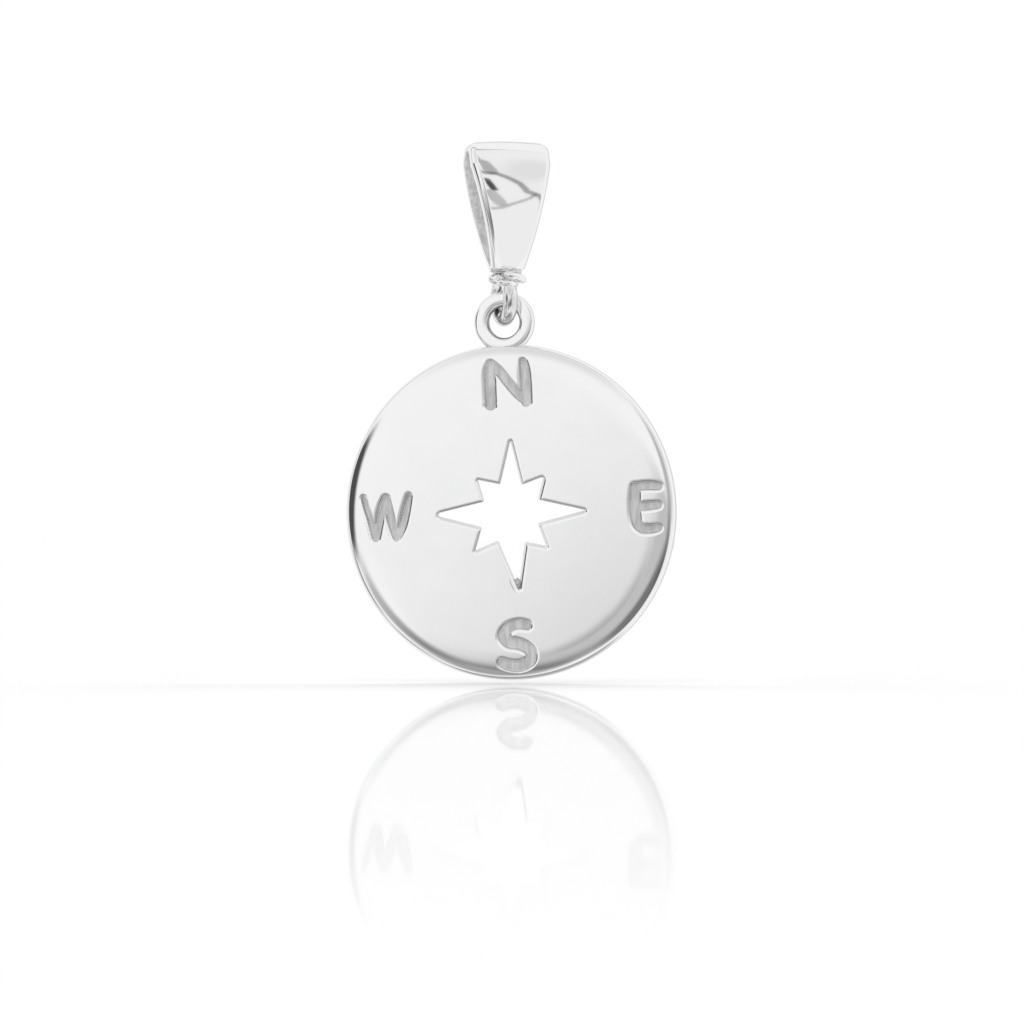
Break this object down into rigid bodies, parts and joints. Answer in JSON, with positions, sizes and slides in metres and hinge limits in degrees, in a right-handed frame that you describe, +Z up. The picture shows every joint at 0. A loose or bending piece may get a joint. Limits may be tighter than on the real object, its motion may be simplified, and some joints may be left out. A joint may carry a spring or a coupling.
{
  "type": "compass pendant",
  "caption": "Round compass pendant: pierced star and incised N, E, S and W on a plate that hangs by its eye ring from a folded tapered bail.",
  "frame": {"origin": "middle of the chain where it bears in the bail's crown", "axes": "+Z up, the plate's engraved face looks to -Y, +X to the right seen from the front (towards the E)"},
  "size_m": [0.016, 0.0038, 0.0257],
  "materials": {
    "bail_silver": "mirror polished outside, rough as cast inside the fold",
    "plate_silver": "mirror polished faces and edge, matte brushed floors in the letters"
  },
  "bodies": {
    "bail": {"bail": "bail_silver"},
    "disc": {"compass_disc": "plate_silver"}
  },
  "joints": [
    {"name": "disc_swing", "type": "hinge", "parent": "bail", "child": "disc", "pos_m": [0, 0, -0.006], "axis": [0.866, 0.5, 0], "range_deg": [-95, 95]}
  ]
}
